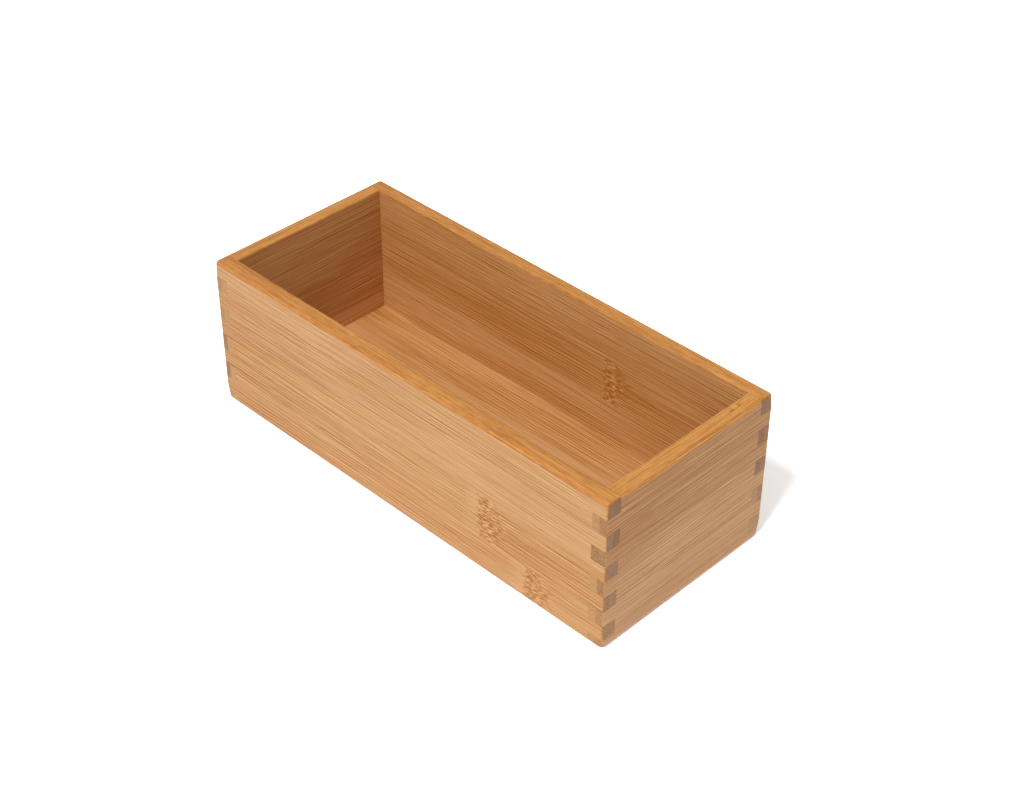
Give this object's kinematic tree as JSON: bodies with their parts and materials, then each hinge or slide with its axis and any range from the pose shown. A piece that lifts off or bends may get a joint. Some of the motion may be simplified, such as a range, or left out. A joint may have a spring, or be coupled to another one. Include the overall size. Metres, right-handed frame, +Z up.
{
  "type": "storage box",
  "caption": "Open-top rectangular desk storage box of flat-pressed bamboo, with finger-jointed corners, rounded edges and a bottom panel held in grooves.",
  "frame": {"origin": "middle of the footprint, on the surface that the box stands on", "axes": "+X along the long walls, +Y from front to back, +Z up through the open top"},
  "size_m": [0.2414, 0.1016, 0.078],
  "materials": {
    "bamboo_long_walls": "sanded, satin lacquer",
    "bamboo_end_walls": "sanded, satin lacquer",
    "bamboo_bottom": "sanded, satin lacquer"
  },
  "bodies": {
    "root": {"front_wall": "bamboo_long_walls", "back_wall": "bamboo_long_walls", "left_wall": "bamboo_end_walls", "right_wall": "bamboo_end_walls", "bottom_panel": "bamboo_bottom"}
  },
  "joints": []
}
